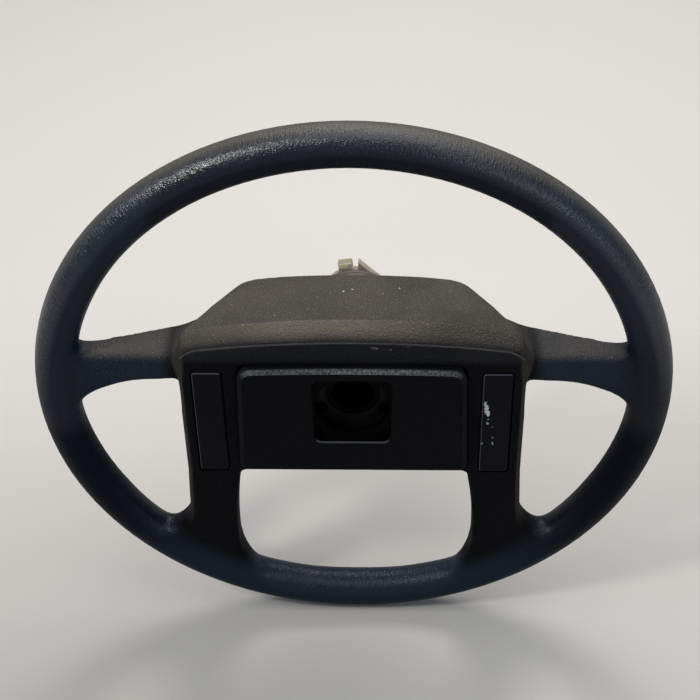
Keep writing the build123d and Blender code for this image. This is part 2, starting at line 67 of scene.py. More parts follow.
# The moulding's skin: how finely it is remade, and how often its blends are smoothed
skin_octree = 8
skin_fill = 0.80
merge_gap = 0.00001
sharp_angle = math.radians(40)
blend_passes = 29
blend_factor = 0.5

# In the zones below, the first place is where a zone starts and the second is where it is full.
# Blends of the skin at the rim, with the share of the passes that the upper spokes get
rim_blend_end = (rim_radius, rim_radius - 0.008)
upper_blend = 0.45
upper_blend_reach = (rim_radius - 0.032, rim_radius - 0.016)
upper_blend_low = (-0.050, -0.025)
upper_blend_high = (0.075, 0.050)
lower_blend_reach = (rim_radius - 0.040, rim_radius - 0.018)
lower_blend_height = (-0.085, -0.105)
lower_blend_side = (0.010, 0.030)

# Blends of the skin at the hub: its upright edges, its rear corners and the foot of the corner below a spoke
hub_blend_end = (hub_side + 0.036, hub_side + 0.004)
hub_blend_high = (0.080, 0.070)
hub_edge_front = hub_side - 0.006
hub_edge_rear = hub_side - 0.022
hub_edge_width = 0.006
hub_edge_height = (0.018, 0.030)
corner_blend = 0.35
corner_blend_side = (hub_side - 0.060, hub_side - 0.034)
corner_blend_height = (0.036, 0.042)
foot_blend = 0.3
foot_blend_start = (hub_side - 0.002, hub_side + 0.001)
foot_blend_end = (hub_side + 0.014, hub_side + 0.004)
foot_blend_low = (-0.008, 0.0)
foot_blend_high = (0.026, 0.014)

# Rounding of the other moulded pieces
panel_round = 0.0015
horn_round = 0.0004
ring_round = 0.0004
round_angle = math.radians(25)
round_segments = 3

# The panel's upper corners, which wear round: the middle of the rounding, its radius, and how far the
# points of the smaller rounding spread along it
panel_corner_side = 0.0602
panel_corner_height = 0.02325
panel_corner_round = 0.009
panel_corner_spread = 1.7
panel_corner_near = 0.001
panel_shoulder = panel_front + 0.003

# Parts of the foam's skin
rim_zone = (rim_radius - 0.026, rim_radius - 0.010)
spoke_side = (hub_side, hub_side + 0.012)
spoke_height = (-0.035, -0.010)
hub_zone = (hub_side + 0.012, hub_side)
hub_top_start = (0.032, 0.039)
hub_top_end = (0.075, 0.070)

# Grain of the foam: how far the rim's ripples are drawn out, and where the hub's top is creased
ripple_stretch = 0.35
grain_depth = 0.00036
crease_side = (-0.05, 0.05)
crease_depth = (-0.070, -0.084)

# Dust on the foam, what is rubbed free of it, and the pale sides beside the face and on the flanks, painted
# light in the dust's colour
rim_dust_height = (0.03, 0.09)
spoke_dust_side = (0.10, -0.10)
ridge_reach = (hub_side + 0.020, rim_radius - 0.030)
rubbed_lit_side = (hub_side - 0.008, hub_side - 0.004)
rubbed_lit_low = (-0.06, -0.03)
rubbed_lit_high = (0.07, 0.05)
rubbed_lit_climb = (0.015, 0.040)
lit_flank_side = (0.060, 0.085)
lit_flank_low = (-0.115, -0.080)
lit_flank_high = (0.06, 0.04)
bevel_rub = (0.005, -0.001)

# Marks on the foam, with the painted highlight along the face's upper edge and the painted sheen on the
# bevel: a band's two ends and the softness of its edges
edge_wear_and_highlight_band = (-0.0021, -0.0010, 0.0005)
bevel_sheen_band = (0.0030, 0.0105, 0.0030)
bevel_sheen_side = (-0.070, 0.035, 0.040)
scratch_side = (0.009, 0.033, 0.003)
scratch_height = (0.0440, 0.0490, 0.001)
scratch_depth = (-0.090, -0.092)
crumb_height = (0.05, 0.055)

# Tint and polish of the rim: its foot painted paler as a painted sheen, its right side painted darker as
# painted shade, and where hands hold it
foot_sheen_height = (-0.10, -0.15)
painted_shade_side = (0.08, 0.15)
painted_shade_height = (0.08, 0.02)
polish_side = (0.12, -0.08)
held_height = (-0.03, 0.09)
foot_held_height = (-0.05, -0.12)

# Crumbs of dust on the hub's top: X, Y and half width
dust_crumbs = (
    (-0.0053, -0.0638, 0.0006),
    (0.0001, -0.0618, 0.0005),
    (0.0183, -0.0656, 0.0006),
    (0.0285, -0.0598, 0.0007),
)

# The panel: its upper edge, worn and with a painted highlight, its side edges and the recess's lip with
# painted highlights, the recess's inside with painted shade, and the scuffs towards the upper right
panel_edge_height = (0.020, 0.026)
panel_edge_depth = (panel_front + 0.0029, panel_front + 0.0017)
panel_edge_side = (0.055, 0.060)
recess_lip_side = (0.0245, 0.022)
recess_lip_height = (0.0, -0.02)
recess_lip_depth = (panel_front + 0.0011, panel_front + 0.0007)
recess_side = (0.0252, 0.0248)
recess_height = (0.030, 0.028)
recess_depth = (panel_front + 0.0009, panel_front + 0.0015)
scuff_side = (0.02, 0.06)
scuff_height = (-0.01, 0.02)

# Wear and painted highlights along the horn pads' left and upper edges
horn_edge_depth = (hub_face + 0.0002, hub_face - 0.0002)

# Pale paint on the right horn pad: each fleck's X, Z, half width, half height and strength
paint_flecks = (
    (0.0819, -0.0021, 0.0014, 0.0060, 1.0),
    (0.0830, -0.0139, 0.0006, 0.0008, 0.5),
    (0.0862, -0.0173, 0.0006, 0.0009, 0.3),
    (0.0866, -0.0259, 0.0005, 0.0007, 0.3),
    (0.0800, -0.0312, 0.0006, 0.0007, 0.4),
    (0.0868, -0.0311, 0.0005, 0.0011, 0.4),
)
fleck_lean = 0.15

# A moulding line round the sleeve and a painted shadow line at its step, and the ring's lug and its grime
# with a painted shadow near the sleeve
sleeve_line_and_step_shadow = ((-0.0022, -0.0016, 0.0002), (0.0005, 0.0013, 0.0002))
lug_height = (0.0222, 0.0236)
lug_side = (-0.0005, -0.0015)
ring_step_shadow_depth = (0.006, 0.001)

# Floor: its half width, and where its colour turns from near to far and from right to left, as painted shade
# that darkens the near side and more its left
floor_reach = 3.0
floor_away = (-0.45, 0.30)
floor_left = (0.20, -0.30)

# Lamps: name, place, size, power and tint
lamp_target = Vector((0, -0.05, 0))
lamps = (
    ("back", (0.10, 0.95, 1.35), 0.6, 12, (1.0, 0.97, 0.93)),
    ("ceiling", (0.35, -0.10, 1.70), 1.8, 16, (1.0, 0.98, 0.95)),
    ("window", (-0.87, -0.66, 1.07), 0.22, 6.5, (1.0, 0.99, 0.98)),
    ("side", (-1.30, -0.20, 0.75), 0.35, 2.0, (0.96, 0.98, 1.0)),
    ("door", (0.85, -1.00, 0.50), 0.25, 1.4, (0.96, 0.98, 1.0)),
)
sky_tint = (0.78, 0.90, 1.08, 1.0)
sky_strength = 0.2

# Camera, fitted to the rim in the photograph
camera_place = Vector((0.0256, -0.8022, 0.6579))
camera_target = Vector((-0.0018, -0.0709, 0.0197))
camera_roll = math.radians(-1.19)
camera_lens = 80.98
camera_sensor = 36.0


def colour(red, green, blue):
    """A colour from its screen values, 0 to 255, by the sRGB curve."""
    def linear(level):
        share = level / 255
        return share / 12.92 if share <= 0.04045 else ((share + 0.055) / 1.055) ** 2.4
    return (linear(red), linear(green), linear(blue), 1.0)


class Shade:
    """One output of a finish's nodes, so that sums with it are written as Python."""

    def __init__(self, finish, socket):
        self.finish = finish
        self.socket = socket

    def math(self, operation, other=0.0, swapped=False):
        first, second = (other, self) if swapped else (self, other)
        return self.finish.node("ShaderNodeMath", {"operation": operation}, {0: first, 1: second})

    def __add__(self, other):
        return self.math("ADD", other)

    def __radd__(self, other):
        return self.math("ADD", other, True)

    def __sub__(self, other):
        return self.math("SUBTRACT", other)

    def __rsub__(self, other):
        return self.math("SUBTRACT", other, True)

    def __mul__(self, other):
        return self.math("MULTIPLY", other)

    def __rmul__(self, other):
        return self.math("MULTIPLY", other, True)

    def __truediv__(self, other):
        return self.math("DIVIDE", other)

    def __abs__(self):
        return self.math("ABSOLUTE")

    def __or__(self, other):
        return self.math("MAXIMUM", other)


class Finish:
    """A material for one kind of surface, built up from procedural nodes on Object coordinates."""

    def __init__(self, name, fixed=None):
        self.material = bpy.data.materials.new(name)
        self.material.use_nodes = True
        self.tree = self.material.node_tree
        self.surface = self.tree.nodes["Principled BSDF"]
        self.give(fixed or {})
        self.place = self.node("ShaderNodeTexCoord", output="Object")

    def node(self, kind, settings=None, sockets=None, output=0):
        made = self.tree.nodes.new(kind)
        for setting, value in (settings or {}).items():
            setattr(made, setting, value)
        for socket, value in (sockets or {}).items():
            self.feed(made.inputs[socket], value)
        return Shade(self, made.outputs[output])

    def feed(self, socket, value):
        if isinstance(value, Shade):
            self.tree.links.new(value.socket, socket)
        else:
            socket.default_value = value

    def give(self, values):
        """Feed the surface's own sockets."""
        for socket, value in values.items():
            self.feed(self.surface.inputs[socket], value)

    def glaze(self, amount, values):
        """Lay a second surface over the first, as strongly as the amount says at each place."""
        over = self.node("ShaderNodeBsdfPrincipled", {}, values)
        under = Shade(self, self.surface.outputs[0])
        both = self.node("ShaderNodeMixShader", {}, {0: amount, 1: under, 2: over})
        self.feed(self.tree.nodes["Material Output"].inputs["Surface"], both)

    def axes(self, vector=None):
        """The X, Y and Z of a vector, by default the place on the piece."""
        vector = vector or self.place
        return tuple(self.node("ShaderNodeSeparateXYZ", {}, {0: vector}, axis) for axis in "XYZ")

    def facing(self):
        """The X, Y and Z of the direction that the surface faces, each from -1 to 1."""
        return self.axes(self.node("ShaderNodeNewGeometry", output="Normal"))

    def noise(self, size, detail=3.0, roughness=0.55, place=None):
        """Soft cloudy noise, about 0.5 on average, with features of this size."""
        sockets = {"Vector": place or self.place, "Scale": 1 / size, "Detail": detail, "Roughness": roughness}
        return self.node("ShaderNodeTexNoise", {}, sockets)

    def cells(self, size, feature="F1", place=None):
        """Distance within cells of this size."""
        sockets = {"Vector": place or self.place, "Scale": 1 / size}
        return self.node("ShaderNodeTexVoronoi", {"feature": feature}, sockets, "Distance")

    def vector_math(self, operation, sockets, output=0):
        """A sum with vectors."""
        return self.node("ShaderNodeVectorMath", {"operation": operation}, sockets, output)

    def stretched(self, x, y, z):
        """The place with each axis stretched, so that a pattern on it is drawn out."""
        return self.vector_math("MULTIPLY", {0: self.place, 1: (x, y, z)})

    def wavered(self, size, amount):
        """The place pushed about by noise, so that a pattern on it isn't regular."""
        push = self.node("ShaderNodeTexNoise", {}, {"Vector": self.place, "Scale": 1 / size}, "Color")
        away = self.vector_math("SUBTRACT", {0: push, 1: (0.5, 0.5, 0.5)})
        scaled = self.vector_math("SCALE", {0: away, "Scale": amount})
        return self.vector_math("ADD", {0: self.place, 1: scaled})

    def step(self, value, start, end, low=0.0, high=1.0):
        """A smooth step from low to high as the value goes from start to end."""
        sockets = {"Value": value, "From Min": start, "From Max": end, "To Min": low, "To Max": high}
        return self.node("ShaderNodeMapRange", {"interpolation_type": "SMOOTHSTEP"}, sockets)

    def band(self, value, low, high, soft):
        """1 between low and high, and 0 outside, over a soft edge."""
        return self.step(value, low - soft, low + soft) * self.step(value, high - soft, high + soft, 1.0, 0.0)

    def mix(self, first, second, amount):
        """A colour between two colours."""
        settings = {"data_type": "RGBA", "clamp_factor": True}
        return self.node("ShaderNodeMix", settings, {0: amount, 6: first, 7: second}, 2)

    def bump(self, height, distance):
        """The surface's normal with a bump of this height in metres."""
        return self.node("ShaderNodeBump", {}, {"Height": height, "Distance": distance})

    def pebbles(self, size):
        """Rounded grains of this size, 0 in the lines between them."""
        return self.step(self.cells(size, "DISTANCE_TO_EDGE", self.wavered(1.6 * size, size)), 0.0, 0.35)

    def creases(self, size, place):
        """Thin wandering lines, 1 on the line."""
        from_line = abs(self.noise(size, detail=2.0, roughness=0.5, place=place) - 0.5)
        return self.step(from_line, 0.0, 0.10, 1.0, 0.0)

    def spot(self, first, second, centre, half_width, half_height, lean=0.0):
        """A ragged spot round a centre in two axes."""
        aside = second - centre[1]
        across = (first - centre[0] + aside * lean) / half_width
        along = aside / half_height
        ragged = 9.0 * (self.noise(size=0.0022, detail=4.0, roughness=0.7) - 0.5)
        return self.step(across * across + along * along + ragged, 0.7, 1.1, 1.0, 0.0)


class Foam(Finish):
    """Self-skinned foam: matt black on the hub, polished navy on the rim, dusty where it faces up, with
    painted light and shade on some parts.
    """

    def __init__(self):
        super().__init__("foam_skin", {"Specular IOR Level": 0.06})
        self.x, self.y, self.z = self.axes()
        self.aside, self.ahead, self.up = self.facing()
        self.beside = abs(self.x)
        self.from_axis = self.vector_math("LENGTH", {0: self.stretched(1, 0, 1)}, "Value")
        self.on_rim = self.step(self.from_axis, *rim_zone)
        self.off_rim = 1 - self.on_rim
        self.on_spoke = self.step(self.beside, *spoke_side) * self.step(self.z, *spoke_height)
        self.beside_hub = self.step(self.beside, *hub_zone)
        self.on_hub = self.beside_hub * self.step(self.z, *hub_top_start) * self.step(self.z, *hub_top_end)
        self.on_bevel = self.on_hub * self.step(self.ahead, -0.25, -0.45)
        self.above_edge = self.height_above_edge()
        self.lying = self.step(self.up, 0.05, 0.95)
        self.clouds = self.noise(size=0.035, detail=3.0)
        self.fine = self.noise(size=0.0009, detail=2.0)
        self.grains = self.pebbles(size=0.0015)

    def height_above_edge(self):
        """Height above the face's arched upper edge, which turns down in a quarter round at each end."""
        past_corner = ((self.beside - hub_side + face_corner) / face_corner) | 0.0
        turned = face_corner * (1 - ((1 - past_corner * past_corner) | 0.0).math("SQRT"))
        across = self.x / hub_side
        return self.z - face_top + face_arch * across * across + turned

    def hub_creases(self):
        """Fine creases in the hub's top, near its front and towards the right."""
        wrinkled = self.step(self.x, *crease_side) * self.on_hub * self.step(self.y, *crease_depth)
        return self.creases(0.0024, self.stretched(0.45, 1, 1)) * wrinkled

    def relief(self, creases):
        """Height of the grain: pebbles on the hub, and ripples across the rim that are drawn out round it."""
        drawn = (rim_radius + ripple_stretch * (self.from_axis - rim_radius)) / self.from_axis
        deep = ripple_stretch * (self.y - rim_depth)
        drawn_place = self.node("ShaderNodeCombineXYZ", {}, {0: self.x * drawn, 1: deep, 2: self.z * drawn})
        ripples = self.noise(size=0.0013, detail=2.0, roughness=0.5, place=drawn_place)
        hub_grain = self.grains * (1.2 - self.on_rim)
        rim_grain = 1.2 * ripples * self.on_rim
        return hub_grain + rim_grain - 0.9 * creases + 0.2 * self.fine

    def spoke_ridge(self):
        """The front upper edge of the upper spokes, which hands rub clean and polish."""
        edge = self.band(self.up, 0.45, 0.85, 0.10) * self.step(self.ahead, -0.35, -0.55)
        return self.on_spoke * self.off_rim * edge * self.step(self.from_axis, *ridge_reach)

    def lying_dust(self, ridge):
        """Dust on what faces up, thinner on the rim and on the spokes' ridges."""
        rim_top = self.on_rim * self.step(self.z, *rim_dust_height) * self.step(self.ahead, -0.65, -0.05)
        rim_dust = 0.8 * rim_top * self.step(self.up, 0.1, 0.6)
        spoke_dust = self.on_spoke * self.step(self.x, *spoke_dust_side, 0.7, 0.85)
        hub_dust = (self.on_hub | spoke_dust) * self.off_rim * self.lying
        return (hub_dust | rim_dust) * (1 - 0.6 * ridge) * self.step(self.clouds, 0.25, 0.7, 0.75, 1.0)

    def flank_light(self):
        """Pale edges beside the face, rubbed and painted light where the hub shades them, and painted light
        in a dusty colour on the outer sides of the hub and the lower spokes.
        """
        # Pale sides beside the face: rubbed, and painted light where the hub shades them, more on their upper
        # part
        rubbed = self.step(abs(self.aside), 0.2, 0.7) * self.beside_hub * self.step(self.beside, *rubbed_lit_side)
        rubbed = rubbed * self.step(self.z, *rubbed_lit_low) * self.step(self.z, *rubbed_lit_high)
        rubbed = rubbed * self.step(self.z, *rubbed_lit_climb, 0.2, 0.5)
        # Painted light on the outer flanks of the hub and the lower spokes
        lit_flank = self.step(self.aside * self.x, 0.015, 0.055) * self.step(self.beside, *lit_flank_side)
        lit_flank = lit_flank * self.beside_hub * self.off_rim
        lit_flank = lit_flank * self.step(self.z, *lit_flank_low) * self.step(self.z, *lit_flank_high)
        return rubbed | 0.45 * lit_flank

    def dust_and_light(self, ridge):
        """Dust on what faces up, with the painted light on the flanks, rubbed thin along the lower part of
        the bevel.
        """
        rubbed = self.on_bevel * self.step(self.above_edge, *bevel_rub, 0.0, 0.4)
        return (self.lying_dust(ridge) | self.flank_light()) * (1 - rubbed)

    def crumbs(self):
        """Pale crumbs on the hub's top: faint ones scattered, and a few chosen ones."""
        crumbs = self.step(self.cells(size=0.013), 0.055, 0.03) * 0.35
        for crumb_x, crumb_y, crumb_size in dust_crumbs:
            crumbs = crumbs | self.spot(self.x, self.y, (crumb_x, crumb_y), crumb_size, crumb_size)
        return crumbs * self.lying * self.on_hub * self.step(self.z, *crumb_height)

    def scratches(self):
        """Pale scratches by the face's upper edge, right of the middle."""
        scratched = self.band(self.x, *scratch_side) * self.band(self.z, *scratch_height)
        lines = self.noise(size=0.0012, detail=3.0, roughness=0.7, place=self.stretched(0.3, 1, 1))
        return scratched * self.step(self.y, *scratch_depth) * self.step(lines, 0.60, 0.68)

    def navy(self):
        """Navy of the rim and the spokes: lighter on the spokes, with a painted sheen on the rim's foot and
        painted shade on the right.
        """
        navy = self.mix(colour(9, 14, 25), colour(15, 21, 34), self.clouds)
        # Lighter on the spokes by their own tone, and on the rim's foot as a painted sheen
        paler_spokes_and_foot_sheen = self.on_spoke * (1 - 0.4 * self.on_rim) | self.step(self.z, *foot_sheen_height)
        navy = self.mix(navy, colour(30, 39, 54), paler_spokes_and_foot_sheen * 0.8)
        # Painted shade: the rim's right side is darkened
        painted_shade = self.step(self.x, *painted_shade_side) * self.step(self.z, *painted_shade_height) * self.on_rim
        return self.mix(navy, colour(5, 9, 16), painted_shade * 0.6)

    def skin(self, dust_and_light, creases):
        """The colour all over, with its dusting, the painted light and shade, and the marks."""
        black = self.mix(colour(9, 10, 14), colour(14, 15, 19), self.clouds)
        # The hub's upper part is paler: faded plastic, with painted light on the upper part of the face
        faded_and_lit = self.mix(colour(32, 33, 36), colour(40, 41, 44), self.clouds)
        skin = self.mix(self.mix(black, faded_and_lit, self.on_hub), self.navy(), self.on_rim | self.on_spoke)
        dusty = self.mix(colour(73, 69, 65), colour(117, 112, 105), self.fine * 0.5 + self.grains * 0.5)
        # Dusty colour where there is dust, and on the flanks as painted light
        skin = self.mix(skin, dusty, dust_and_light)
        # A pale line along the face's upper edge: wear, with a painted highlight on the rounded edge
        face_edge_wear_and_highlight = self.band(self.above_edge, *edge_wear_and_highlight_band) * self.on_hub * self.step(self.ahead, -0.5, -0.7)
        skin = self.mix(skin, colour(112, 111, 111), face_edge_wear_and_highlight * 0.6)
        # Painted sheen on the bevel, left of the middle
        bevel_sheen = self.on_bevel * self.band(self.above_edge, *bevel_sheen_band) * self.band(self.x, *bevel_sheen_side)
        skin = self.mix(skin, colour(136, 128, 112), bevel_sheen * 0.6)
        # Painted shade in the hub's creases
        skin = self.mix(skin, colour(44, 42, 40), creases * 0.15)
        return self.mix(skin, colour(186, 184, 178), self.crumbs() | self.scratches() * 0.6)

    def held(self):
        """Where hands polish the rim: most on its outer side near the top, and a little along its foot."""
        outward = (self.x * self.aside + self.z * self.up) / self.from_axis
        upper = self.step(self.z, *held_height, 0.08, 1.0) * self.step(outward, -0.1, 0.45, 0.12, 1.0)
        lower = self.step(self.z, *foot_held_height) * self.step(self.up, 0.1, 0.7, 0.05, 0.35)
        return self.on_rim * (upper | lower)


def foam_finish():
    """The foam's matt surface, with a polished one over it where hands touch it."""
    foam = Foam()
    creases = foam.hub_creases()
    ridge = foam.spoke_ridge()
    dust_and_light = foam.dust_and_light(ridge)
    skin = foam.skin(dust_and_light, creases)
    normal = foam.bump(foam.relief(creases), grain_depth)
    foam.give({"Base Color": skin, "Roughness": 0.62 + 0.16 * dust_and_light, "Normal": normal})
    polish = foam.step(foam.x, *polish_side) * foam.step(foam.clouds, 0.3, 0.6)
    gloss = 0.35 - 0.11 * polish + 0.10 * (foam.clouds - 0.5) + 0.3 * dust_and_light
    over = {"Base Color": skin, "Roughness": gloss, "Normal": normal, "Specular IOR Level": 0.8}
    touched = foam.held() | foam.on_spoke * 0.2 | 0.8 * ridge
    foam.glaze(touched * (1 - 0.75 * dust_and_light), over)
    return foam.material


def panel_finish():
    """Grained plastic of the centre panel, rubbed pale with a painted highlight along its upper edge, with
    painted highlights on its side edges and the recess's lip, and painted shade inside the badge recess.
    """
    panel = Finish("panel_grain", {"Specular IOR Level": 0.05})
    x, y, z = panel.axes()
    aside, up = panel.facing()[::2]
    beside = abs(x)
    clouds = panel.noise(size=0.03, detail=3.0)
    grains = panel.noise(size=0.0012, detail=2.0, roughness=0.6)
    top_edge_wear_and_highlight = panel.step(up, 0.25, 0.75) * panel.step(z, *panel_edge_height)
    top_edge_wear_and_highlight = top_edge_wear_and_highlight * panel.step(y, *panel_edge_depth)
    side_edge_highlight = panel.band(abs(aside), 0.30, 0.85, 0.15) * panel.step(beside, *panel_edge_side)
    lip_highlight = panel.band(up, 0.5, 0.9, 0.1) * panel.step(beside, *recess_lip_side)
    lip_highlight = lip_highlight * panel.step(z, *recess_lip_height) * panel.step(y, *recess_lip_depth)
    recess_shade = panel.step(beside, *recess_side) * panel.step(abs(z), *recess_height)
    recess_shade = recess_shade * panel.step(y, *recess_depth)
    scuffs = panel.noise(size=0.0022, detail=4.0, roughness=0.7, place=panel.stretched(1, 1, 0.5))
    scuffed = 0.15 + 0.4 * panel.step(x, *scuff_side) * panel.step(z, *scuff_height)
    scuffed = panel.step(scuffs, 0.60, 0.75) * scuffed
    black = panel.mix(colour(11, 12, 15), colour(16, 17, 21), clouds)
    shown = panel.mix(black, colour(40, 41, 44), scuffed)
    rubbed = panel.mix(colour(66, 67, 69), colour(128, 129, 131), panel.step(grains, 0.32, 0.70))
    # The upper edge: worn pale grains, with a painted highlight where it faces up
    shown = panel.mix(shown, rubbed, top_edge_wear_and_highlight * panel.step(clouds, 0.3, 0.6, 0.55, 0.9))
    # Painted highlight on the side edges
    shown = panel.mix(shown, colour(46, 47, 50), side_edge_highlight * 0.3)
    # Painted shade inside the badge recess
    shown = panel.mix(shown, colour(3, 3, 4), recess_shade)
    # Painted highlight on the recess's lower lip
    shown = panel.mix(shown, colour(70, 71, 76), lip_highlight)
    panel.give({"Base Color": shown, "Roughness": 0.55 + 0.12 * (clouds - 0.5) + 0.15 * scuffed})
    panel.give({"Normal": panel.bump(panel.pebbles(size=0.0014), distance=0.00018)})
    return panel.material


def horn_finish():
    """Smooth plastic of the horn pads, scuffed, with wear and a painted highlight along their left and upper
    edges, and flecks of pale paint on the right pad.
    """
    horn = Finish("horn_smooth", {"Specular IOR Level": 0.08})
    x, y, z = horn.axes()
    aside, up = horn.facing()[::2]
    clouds = horn.noise(size=0.02, detail=3.0)
    marks = horn.noise(size=0.003, detail=4.0, roughness=0.7, place=horn.stretched(1, 1, 0.25))
    scuffs = horn.step(marks, 0.60, 0.75)
    pad_edge_wear_and_highlight = horn.step(aside, -0.25, -0.55) | horn.step(up, 0.25, 0.55)
    black = horn.mix(colour(10, 11, 18), colour(14, 15, 24), clouds)
    shown = horn.mix(black, colour(46, 47, 53), scuffs * 0.3)
    # Wear with a painted highlight along the pads' left and upper edges
    shown = horn.mix(shown, colour(84, 86, 92), pad_edge_wear_and_highlight * horn.step(y, *horn_edge_depth))
    paint = 0.0
    for fleck_x, fleck_z, half_width, half_height, strength in paint_flecks:
        fleck = horn.spot(x, z, (fleck_x, fleck_z), half_width, half_height, fleck_lean)
        paint = fleck * strength | paint
    horn.give({"Base Color": horn.mix(shown, colour(205, 214, 214), paint)})
    horn.give({"Roughness": 0.42 + 0.12 * (clouds - 0.5) + 0.2 * scuffs + 0.2 * paint})
    grain = horn.noise(size=0.0008, detail=2.0)
    horn.give({"Normal": horn.bump(grain + 2 * paint, distance=0.00004)})
    return horn.material


def sleeve_finish():
    """Brown-grey plastic of the contact carrier, with a moulding line round it and a painted shadow line at
    its step.
    """
    sleeve = Finish("sleeve_plastic", {"Specular IOR Level": 0.25})
    y = sleeve.axes()[1]
    clouds = sleeve.noise(size=0.008, detail=4.0)
    # The first line is a moulding line; the second is a painted shadow at the sleeve's step
    first_line, step_shadow_line = sleeve_line_and_step_shadow
    lines = sleeve.band(y, *first_line) | sleeve.band(y, *step_shadow_line)
    grime_and_shadow = lines | 0.5 * sleeve.step(clouds, 0.5, 0.7)
    brown = sleeve.mix(colour(98, 91, 85), colour(116, 109, 102), clouds)
    sleeve.give({"Base Color": sleeve.mix(brown, colour(58, 53, 50), grime_and_shadow)})
    sleeve.give({"Roughness": 0.5 + 0.2 * (clouds - 0.5)})
    grain = sleeve.noise(size=0.002, detail=3.0)
    sleeve.give({"Normal": sleeve.bump(grain - 3 * lines, distance=0.00006)})
    return sleeve.material


def ring_finish():
    """Cream plastic of the cancelling ring, yellowed on the lug and paler as painted light on its faces
    towards the driver, and grimy with a painted shadow near the sleeve.
    """
    ring = Finish("ring_plastic", {"Specular IOR Level": 0.3, "Subsurface Weight": 0.9})
    ring.give({"Subsurface Radius": (1.0, 0.9, 0.75), "Subsurface Scale": 0.006})
    x, y, z = ring.axes()
    ahead = ring.facing()[1]
    clouds = ring.noise(size=0.006, detail=4.0)
    on_lug = ring.step(z, *lug_height) * ring.step(x, *lug_side)
    # Grime in mottled patches, and a painted shadow towards the end next to the sleeve
    grime_and_shadow = ring.step(y, *ring_step_shadow_depth) * 0.5 + 0.4 * ring.step(clouds, 0.5, 0.75)
    beige = ring.mix(colour(158, 150, 141), colour(180, 172, 162), clouds)
    cream = ring.mix(colour(142, 136, 118), colour(160, 154, 135), clouds)
    # Painted light: the lug's faces towards the driver are paler, lifting their shade
    cream = ring.mix(cream, colour(224, 219, 203), ring.step(ahead, -0.4, -0.8))
    ring.give({"Base Color": ring.mix(ring.mix(beige, cream, on_lug), colour(106, 98, 88), grime_and_shadow)})
    ring.give({"Roughness": 0.45 + 0.2 * (clouds - 0.5)})
    ring.give({"Normal": ring.bump(ring.noise(size=0.0015, detail=3.0), distance=0.00005)})
    return ring.material


def plain_plastic(name, dark, light, roughness):
    """Moulded plastic with slight mottling and fine scratches."""
    plastic = Finish(name, {"Specular IOR Level": 0.3})
    clouds = plastic.noise(size=0.008, detail=4.0)
    scratches = plastic.noise(size=0.002, detail=3.0, roughness=0.6, place=plastic.stretched(1, 0.1, 1))
    plastic.give({"Base Color": plastic.mix(dark, light, clouds)})
    plastic.give({"Roughness": roughness + 0.2 * (scratches - 0.5)})
    plastic.give({"Normal": plastic.bump(scratches, distance=0.00005)})
    return plastic.material


def metal(name, dark, light, roughness, lines):
    """Bare metal with tool marks stretched along one axis and dull patches."""
    bare = Finish(name, {"Metallic": 1.0})
    marks = bare.noise(size=0.0012, detail=3.0, roughness=0.6, place=bare.stretched(*lines))
    patches = bare.noise(size=0.012, detail=4.0)
    bare.give({"Base Color": bare.mix(dark, light, patches)})
    bare.give({"Roughness": roughness + 0.25 * (patches - 0.5) + 0.15 * (marks - 0.5)})
    bare.give({"Normal": bare.bump(marks, distance=0.00003)})
    return bare.material


def floor_finish():
    """Pale matt table top, slightly warm, with painted shade towards the front and more at the front left."""
    top = Finish("pale_floor", {"Roughness": 0.9, "Specular IOR Level": 0.1})
    x, y = top.axes()[:2]
    clouds = top.noise(size=0.2, detail=2.0)
    # Painted shade: the floor darkens towards the front, and more at the front left
    away = top.step(y, *floor_away) + 0.1 * (clouds - 0.5)
    near_painted_shade = top.mix(colour(190, 188, 184), colour(163, 161, 157), top.step(x, *floor_left))
    top.give({"Base Color": top.mix(near_painted_shade, colour(227, 223, 217), away)})
    return top.material


def added(name, data):
    """A new object in the scene."""
    made = bpy.data.objects.new(name, data)
    bpy.context.scene.collection.objects.link(made)
    return made


def shown_copy(node, name):
    """A merged copy of a CAD node's mesh as a new piece."""
    mesh = node.data.copy()
    work = bmesh.new()
    work.from_mesh(mesh)
    bmesh.ops.remove_doubles(work, verts=work.verts, dist=merge_gap)
    work.to_mesh(mesh)
    work.free()
    mesh.materials.clear()
    return added(name, mesh)


def shade_smooth(mesh):
    """Smooth shading over the whole mesh."""
    for face in mesh.polygons:
        face.use_smooth = True


def ramp(value, start, end):
    """0 before start, 1 past end, and straight between them."""
    return min(1.0, max(0.0, (value - start) / (end - start)))


def rim_blend(place):
    """How much a place is smoothed where a spoke runs into the rim."""
    from_axis = math.hypot(place.x, place.z)
    upper = upper_blend * ramp(from_axis, *upper_blend_reach)
    upper *= ramp(place.z, *upper_blend_low) * ramp(place.z, *upper_blend_high)
    lower = ramp(from_axis, *lower_blend_reach)
    lower *= ramp(place.z, *lower_blend_height) * ramp(abs(place.x), *lower_blend_side)
    return ramp(from_axis, *rim_blend_end) * max(upper, lower)


def hub_blend(place):
    """How much a place is smoothed where an upper spoke runs into the hub."""
    beside = abs(place.x)
    past_hub = ramp(beside, *hub_blend_end) ** 2 * ramp(place.z, *hub_blend_high)
    edge_start = hub_edge_front if place.y < face_back else hub_edge_rear
    edge = ramp(beside, edge_start, edge_start + hub_edge_width) * ramp(place.z, *hub_edge_height)
    corner = corner_blend * ramp(beside, *corner_blend_side) * ramp(place.z, *corner_blend_height)
    foot = foot_blend * ramp(beside, *foot_blend_start) * ramp(beside, *foot_blend_end)
    foot *= ramp(place.z, *foot_blend_low) * ramp(place.z, *foot_blend_high)
    return max(past_hub * max(edge, corner), foot)


